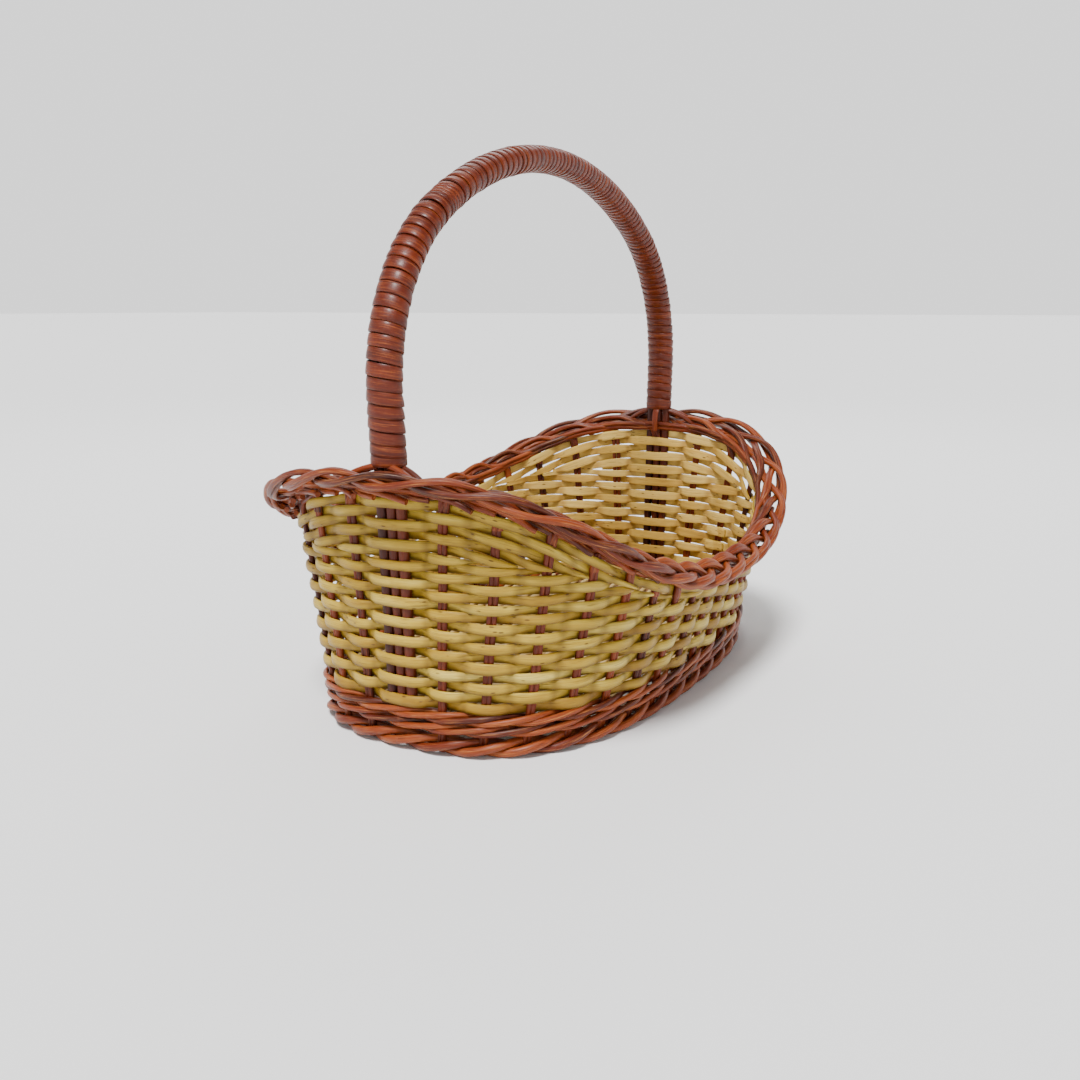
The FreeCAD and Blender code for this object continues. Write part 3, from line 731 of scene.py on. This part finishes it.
def border_rods(piece, stake):
    """The pair of rods of one stake. They bend over along the top of the weave inside the next
    stakes, cross the border to its outer edge and back, and lie along the weave's top outside,
    where one of them ends in a tip that points down."""
    tone = rng.random(2)
    for half in (-1, 1):
        tail_length = BORDER_TAIL + rng.uniform(-0.12, 0.12) - (0.0 if half > 0 else SHORT_TAIL)
        whole = BORDER_START + BORDER_WAVE + tail_length
        steps = int(whole * BORDER_RINGS_PER_STAKE)
        travel = np.linspace(0.0, whole, steps)
        place = stake + travel
        past_wave = travel - BORDER_START - BORDER_WAVE
        braid = braid_path(place, np.clip((travel - BORDER_START) / BORDER_WAVE, -0.1, 1.1), half)
        layer = (1 + half) * ROD_LAYER
        top = weave_height(place)
        inside_height = top + INSIDE_HEIGHT + layer + INSIDE_RISE * np.clip(travel, 0, 1)
        inside = wall(place, inside_height, INSIDE_OFFSET - INSIDE_SPREAD * half)
        stem_place = np.full(steps, stake + half * STEM_SPREAD / STAKE_PITCH)
        stem_height = float(weave_height(stake)) + STEM_HEIGHT + STEM_RISE * np.clip(travel / 0.5, 0, 1)
        stem = wall(stem_place, stem_height, 0.0)
        tip = np.clip(past_wave / BORDER_TAIL, 0.0, 1.0) ** 3
        outside_offset = OUTSIDE_OFFSET + DODGE_OUT * near_handle(place, TAIL_DODGE_REACH) + TIP_OUT * tip
        outside = wall(place, top + OUTSIDE_HEIGHT + layer - TIP_DROP * tip, outside_offset)
        path = stem + (inside - stem) * ease(travel / BEND_LENGTH)
        path = path + (braid - path) * ease((travel - BRAID_FROM) / BRAID_EASE)
        path = path + (outside - path) * ease((past_wave + TAIL_EARLY) / TAIL_EASE)
        radius = BORDER_ROD * np.linspace(1.05, 0.92, steps) * (1 + smooth_noise(steps, 7, 0.03))
        piece.rod(path, radius, start=outward(stake), tone=tone + rng.uniform(-0.08, 0.08, 2))


for strand in range(BORDER_STRANDS):
    piece = Piece(f"willow_border_{strand + 1}")
    for stake in range(strand, STAKES, BORDER_STRANDS):
        border_rods(piece, float(stake))
    piece.finish(stained_willow, "stained_willow", [f"border_strand_{strand + 1}"])


# ---------------------------------------------------------------- handle

def bow_path(start, step):
    """Points of the bow's centre line from the -Y leg to the +Y leg, with tangents and outward normals."""
    shoulder_y = HANDLE_HALF_SPAN - HANDLE_SHOULDER
    drop = HANDLE_HEIGHT - HANDLE_LEG_TOP
    top_radius = (shoulder_y ** 2 + drop ** 2 - HANDLE_SHOULDER ** 2) / (2 * (drop - HANDLE_SHOULDER))
    top_z = HANDLE_HEIGHT - top_radius
    bend = math.atan2(shoulder_y, HANDLE_LEG_TOP - top_z)
    leg_angle = math.pi / 2 + HANDLE_LEAN
    high_y = shoulder_y + HANDLE_SHOULDER * math.sin(leg_angle)
    high_z = HANDLE_LEG_TOP + HANDLE_SHOULDER * math.cos(leg_angle)
    leg = (high_z - start) / math.cos(HANDLE_LEAN)
    shoulder = HANDLE_SHOULDER * (leg_angle - bend)
    crown = top_radius * bend
    half = leg + shoulder + crown
    count = int(2 * half / step) + 1
    length = np.linspace(0, 2 * half, count)
    near = np.minimum(length, 2 * half - length)
    side = np.where(length < half, -1.0, 1.0)
    angle = np.where(near < leg, leg_angle,
                     np.where(near < leg + shoulder, leg_angle - (near - leg) / HANDLE_SHOULDER,
                              bend - (near - leg - shoulder) / top_radius))
    on_leg_y = high_y - np.sin(HANDLE_LEAN) * (leg - near)
    on_leg_z = high_z - np.cos(HANDLE_LEAN) * (leg - near)
    on_shoulder_y = shoulder_y + HANDLE_SHOULDER * np.sin(angle)
    on_shoulder_z = HANDLE_LEG_TOP + HANDLE_SHOULDER * np.cos(angle)
    on_top_y, on_top_z = top_radius * np.sin(angle), top_z + top_radius * np.cos(angle)
    y = np.where(near < leg, on_leg_y, np.where(near < leg + shoulder, on_shoulder_y, on_top_y))
    z = np.where(near < leg, on_leg_z, np.where(near < leg + shoulder, on_shoulder_z, on_top_z))
    points = np.stack([np.zeros(count), side * y, z], axis=1)
    normals = np.stack([np.zeros(count), side * np.sin(angle), np.cos(angle)], axis=1)
    return length, points, normals


for rod in range(BOW_RODS):
    piece = Piece(f"willow_bow_rod_{rod + 1}")
    _, path, _ = bow_path(HANDLE_FOOT_Z, BOW_RING_STEP)
    path = path + BOW_SPACING * (rod - 1) * SIDEWAYS
    path[:, 0] += smooth_noise(len(path), 14, 0.12)
    piece.rod(path, BOW_RADIUS * (1 + smooth_noise(len(path), 12, 0.02)), start=SIDEWAYS)
    # The bow rods get the darker copy of the stained willow, which is painted shade.
    piece.finish(shaded_bow_willow, "stained_willow", [f"handle_bow_rod_{rod + 1}"])


def cane_profile():
    """Flat cane: x out of the handle, y along it. Crowned outside, with rounded edges."""
    x = [0.10, 0.66, 0.86, 0.96, 1.0, 0.96, 0.86, 0.66, 0.10, 0.0, 0.0, 0.0]
    y = [-1.0, -0.98, -0.86, -0.45, 0.0, 0.45, 0.86, 0.98, 1.0, 0.7, 0.0, -0.7]
    return np.stack([x, y], axis=1)


CANE = cane_profile()
CANE_THICKNESS = 1.25
CANE_LEAN = 0.10
WRAP_START, WRAP_CLEAR = 159.5, 2.6
WRAP_STEPS_PER_TURN = 44
WRAP_START_ANGLE = 2.2
# Spacing of the turns in mm, at shares of the way over the handle
PITCH_SHARES = [0.0, 0.30, 0.42, 0.50, 0.78, 0.88, 1.0]
PITCHES = [6.6, 6.6, 5.6, 4.5, 4.4, 5.6, 6.0]
PITCH_SPREAD = 0.05
SPLICE_SHARE, SPLICE_REACH, SPLICE_PITCH = 0.27, 0.014, 2.9
END_PITCH = 0.01
BRACE_RADIUS, BRACE_RINGS = 1.9, 14
BRACE_START, BRACE_LENGTH = 4.0, 23.0
BRACE_OFFSETS, BRACE_OUT = (1.5, 7.5), 5.0
BRACE_HEIGHT, BRACE_FALL, BRACE_BEND = 9.5, 3.0, 7.0
LOOP_X, LOOP_WIDTH = 1.0, 4.6
# The loop's way over the rim, as (out from the wall, above the rim)
LOOP_POINTS = [(3.0, 12.0), (-4.5, 10.0), (-7.0, 3.0), (-6.2, -6.5)]


def wrap_pitches(total):
    """Uneven spacing of the turns: broad up the near side, a spliced bundle of narrow turns, and
    close over the top and down the far shoulder. The first and last turns are level rings."""
    pitches = [END_PITCH]
    reached = 0.0
    while reached < total:
        share = reached / total
        pitch = np.interp(share, PITCH_SHARES, PITCHES)
        if abs(share - SPLICE_SHARE) < SPLICE_REACH:
            pitch = SPLICE_PITCH
        pitch = pitch * (1 + rng.normal(0.0, PITCH_SPREAD))
        pitches.append(pitch)
        reached += pitch
    return np.array(pitches + [END_PITCH]), reached


def wrap_handle():
    """The cane winds close from the near leg to the far leg, each turn leaning on the last."""
    piece = Piece("cane_wrap")
    length, points, normals = bow_path(WRAP_START + WRAP_CLEAR, 1.0)
    total = length[-1]
    pitches, reached = wrap_pitches(total)
    turns = len(pitches)
    edges = np.concatenate([[0.0], np.cumsum(pitches)]) * total / reached
    edges = np.clip(edges, 0.0, total)
    turn = np.arange(turns * WRAP_STEPS_PER_TURN + 1) / WRAP_STEPS_PER_TURN
    rings = len(turn)
    along = np.interp(turn, np.arange(turns + 1), edges)
    spacing = np.diff(edges)
    spacing[0], spacing[-1] = spacing[1], spacing[-2]
    pitch = np.interp(turn, np.arange(turns) + 0.5, spacing)
    angle = TURN * turn + WRAP_START_ANGLE
    centre = along_path(along, length, points)
    normal = unit(along_path(along, length, normals))
    tangent = np.cross(normal, SIDEWAYS)
    wobble = 1 + smooth_noise(rings, 30, 0.010)
    a = (WRAP_HALF_WIDTH - CANE_THICKNESS) * wobble
    b = (WRAP_HALF_DEPTH - CANE_THICKNESS) * wobble
    c, s = np.cos(angle), np.sin(angle)
    surface = centre + (a * c)[:, None] * SIDEWAYS + (b * s)[:, None] * normal
    across = unit((c / a)[:, None] * SIDEWAYS + (s / b)[:, None] * normal)
    lean = CANE_LEAN + smooth_noise(rings, 40, 0.04)
    across = unit(across + tangent * lean[:, None])
    width = pitch * (1.0 + smooth_noise(rings, 35, 0.015)) / 2
    size = np.stack([np.full(rings, CANE_THICKNESS), width], axis=1)
    piece.strand(surface, across, square_to(tangent, across), CANE, size)
    lash_foot(piece, -1)
    lash_foot(piece, 1)
    piece.finish(wrap_cane, "wrap_cane", ["handle_wrap", "handle_packing_outer", "handle_packing_inner"])


def cane_strip(piece, points, facing, width):
    """A short flat cane through a few points, with its crown towards facing."""
    points = np.array(points, float)
    marks = np.arange(len(points))
    path = along_path(np.linspace(0, marks[-1], 7 * marks[-1] + 1), marks, points)
    for _ in range(6):
        path[1:-1] = (path[:-2] + 2 * path[1:-1] + path[2:]) / 4
    tangent = unit(np.gradient(path, axis=0))
    facing = np.array(facing, float)
    across = unit(facing - tangent * (tangent @ facing)[:, None])
    piece.strand(path, across, np.cross(tangent, across), CANE, [CANE_THICKNESS * 0.9, width / 2])


def lash_foot(piece, end):
    """Rods that end under the wrap's lowest turn, and one loop of cane over the rim inside."""
    foot = 0.0 if end < 0 else float(HALF)
    rim = float(rim_height(foot))
    wall_y = abs(float(wall(foot, rim)[1]))
    at = np.linspace(0.0, 1.0, BRACE_RINGS)
    for lean in (-1, 1):
        x = lean * (BRACE_START + BRACE_LENGTH * at)
        for out in BRACE_OFFSETS:
            y = end * (wall_y + out + BRACE_OUT * at)
            z = rim + BRACE_HEIGHT - BRACE_FALL * at - BRACE_BEND * at ** 2
            piece.rod(np.stack([x, y, z], axis=1), np.full(BRACE_RINGS, BRACE_RADIUS), start=LENGTHWAYS)
    loop = [(LOOP_X, end * (wall_y + out), rim + above) for out, above in LOOP_POINTS]
    cane_strip(piece, loop, (0.0, -end, 0.3), LOOP_WIDTH)


wrap_handle()


# ---------------------------------------------------------------- base

BASE_HALF_WIDTH, BASE_HALF_LENGTH = 100.0, 165.0
BASE_MIDDLE = 21.2
BASE_ROD, BASE_ROD_GAP = 1.45, 0.35
BASE_EDGE, BASE_ROD_SHORT = 2.0, 1.0
SHORTEST_BASE_ROD = 12
BASE_WAVE = 2.1
LONG_STICKS, CROSS_STICKS = 3, 9
LONG_SPACING, CROSS_SPACING = 9.0, 32.0
LONG_STICK_SHORT = 12.0
LONG_STICK_RINGS, CROSS_STICK_RINGS = 60, 50
STICK_RADIUS = 1.9


def node_level(node):
    """Middle height of a CAD node, in millimetres."""
    low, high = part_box(node)
    return (low.z + high.z) / 2 / MM


def base_reach(distance, half_across, half_along):
    """Half length of the oval base, at a distance across it from its middle."""
    share = max(0.0, 1 - (abs(distance) / half_across) ** PLAN_EXPONENT)
    return half_along * share ** (1 / PLAN_EXPONENT)


def base_weave():
    """Rows of rod laid along the basket, over and under the cross sticks in turn."""
    piece = Piece("willow_base_weave")
    pitch = 2 * BASE_ROD + BASE_ROD_GAP
    count = int(2 * (BASE_HALF_WIDTH - BASE_EDGE) / pitch)
    for row in range(count + 1):
        x = -BASE_HALF_WIDTH + BASE_EDGE + row * pitch
        reach = base_reach(x, BASE_HALF_WIDTH, BASE_HALF_LENGTH) - BASE_ROD_SHORT
        if reach < SHORTEST_BASE_ROD:
            continue
        y = np.linspace(-reach, reach, max(8, int(reach / 2.2)))
        level = BASE_MIDDLE + BASE_WAVE * np.cos(math.pi * (y / CROSS_SPACING + row))
        path = np.stack([x + smooth_noise(len(y), 8, 0.15), y, level], axis=1)
        piece.rod(path, BASE_ROD * (1 + smooth_noise(len(y), 9, 0.03)), start=SIDEWAYS)
    piece.finish(base_willow, "base_willow", ["base_weave"])


def base_stick(name, path, start, node):
    piece = Piece(name)
    piece.rod(path, STICK_RADIUS * (1 + smooth_noise(len(path), 9, 0.03)), start=start)
    piece.finish(base_wood, "base_sticks", [node])


def base_sticks():
    """The sticks along the base, and the ones across it that carry the weave."""
    for stick in range(LONG_STICKS):
        node = f"base_long_stick_{stick + 1}"
        x = LONG_SPACING * (stick - (LONG_STICKS - 1) / 2)
        reach = BASE_HALF_LENGTH - LONG_STICK_SHORT
        y = np.linspace(-reach, reach, LONG_STICK_RINGS)
        level = np.full(len(y), node_level(node))
        path = np.stack([x + smooth_noise(len(y), 9, 0.2), y, level], axis=1)
        base_stick(f"base_runner_{stick + 1}", path, SIDEWAYS, node)
    for stick in range(CROSS_STICKS):
        y = CROSS_SPACING * (stick - (CROSS_STICKS - 1) / 2)
        reach = base_reach(y, BASE_HALF_LENGTH, BASE_HALF_WIDTH) - BASE_EDGE
        x = np.linspace(-reach, reach, CROSS_STICK_RINGS)
        path = np.stack([x, y + smooth_noise(len(x), 9, 0.2), np.full(len(x), BASE_MIDDLE)], axis=1)
        base_stick(f"base_rib_{stick + 1}", path, LENGTHWAYS, f"base_cross_stick_{stick + 1}")


base_weave()
base_sticks()


# ---------------------------------------------------------------- floor, light, camera

FLOOR_HALF, FLOOR_GREY = 30.0, 0.88
LIGHT_AIM = (0.0, 0.0, 0.12)
KEY_PLACE, KEY_SPREAD, KEY_POWER = (0.1, -0.7, 1.6), math.radians(16.0), 5.4
BACK_PLACE, BACK_SIZE, BACK_POWER = (-0.6, 1.1, 1.3), 0.9, 7.0
# World light by the sine of the height above the horizon
LOW_SKY, LOW_SKY_STRENGTH = 0.25, 1.45
HIGH_SKY, HIGH_SKY_STRENGTH = 0.6, 0.30
CAMERA_PLACE = (0.34525, -0.63165, 0.24076)
CAMERA_YAW, CAMERA_PITCH = 2.0678, -0.2128
CAMERA_LENS, CAMERA_SENSOR, CAMERA_SHIFT = 36.17, 36.0, -0.0148


def make_floor():
    corners = [(-FLOOR_HALF, -FLOOR_HALF, 0), (FLOOR_HALF, -FLOOR_HALF, 0),
               (FLOOR_HALF, FLOOR_HALF, 0), (-FLOOR_HALF, FLOOR_HALF, 0)]
    mesh = bpy.data.meshes.new("floor")
    mesh.from_pydata(corners, [], [(0, 1, 2, 3)])
    material = bpy.data.materials.new("floor")
    material.use_nodes = True
    shader = material.node_tree.nodes["Principled BSDF"]
    shader.inputs["Base Color"].default_value = (FLOOR_GREY, FLOOR_GREY, FLOOR_GREY, 1.0)
    shader.inputs["Roughness"].default_value = 0.9
    mesh.materials.append(material)
    floor = bpy.data.objects.new("floor", mesh)
    bpy.context.scene.collection.objects.link(floor)


def point_along(name, data, place, direction):
    """Puts a light or a camera in the scene, looking along direction."""
    thing = bpy.data.objects.new(name, data)
    thing.location = place
    thing.rotation_euler = direction.to_track_quat("-Z", "Y").to_euler()
    bpy.context.scene.collection.objects.link(thing)
    return thing


def add_light(name, kind, place, power):
    light = bpy.data.lights.new(name, kind)
    light.energy = power
    point_along(name, light, place, Vector(LIGHT_AIM) - Vector(place))
    return light


def light_world():
    """Bright near the horizon, like a pale backdrop, and dimmer overhead."""
    world = bpy.data.worlds.new("studio")
    world.use_nodes = True
    tree = world.node_tree
    direction = tree.nodes.new("ShaderNodeTexCoord")
    parts = tree.nodes.new("ShaderNodeSeparateXYZ")
    fade = tree.nodes.new("ShaderNodeMapRange")
    fade.inputs["From Min"].default_value = LOW_SKY
    fade.inputs["From Max"].default_value = HIGH_SKY
    fade.inputs["To Min"].default_value = LOW_SKY_STRENGTH
    fade.inputs["To Max"].default_value = HIGH_SKY_STRENGTH
    tree.links.new(direction.outputs["Generated"], parts.inputs[0])
    tree.links.new(parts.outputs[2], fade.inputs["Value"])
    background = tree.nodes["Background"]
    background.inputs[0].default_value = (1.0, 1.0, 1.0, 1.0)
    tree.links.new(fade.outputs["Result"], background.inputs[1])
    bpy.context.scene.world = world


def light_scene():
    light_world()
    add_light("key", "SUN", KEY_PLACE, KEY_POWER).angle = KEY_SPREAD
    add_light("back", "AREA", BACK_PLACE, BACK_POWER).size = BACK_SIZE


def place_camera():
    """Eye point, heading and lens that give the photograph's view of the basket."""
    camera = bpy.data.cameras.new("camera")
    camera.sensor_width = CAMERA_SENSOR
    camera.lens = CAMERA_LENS
    camera.shift_x = CAMERA_SHIFT
    camera.clip_start = 0.01
    level = math.cos(CAMERA_PITCH)
    forward = Vector((level * math.cos(CAMERA_YAW), level * math.sin(CAMERA_YAW), math.sin(CAMERA_PITCH)))
    bpy.context.scene.camera = point_along("camera", camera, CAMERA_PLACE, forward)


make_floor()
light_scene()
place_camera()
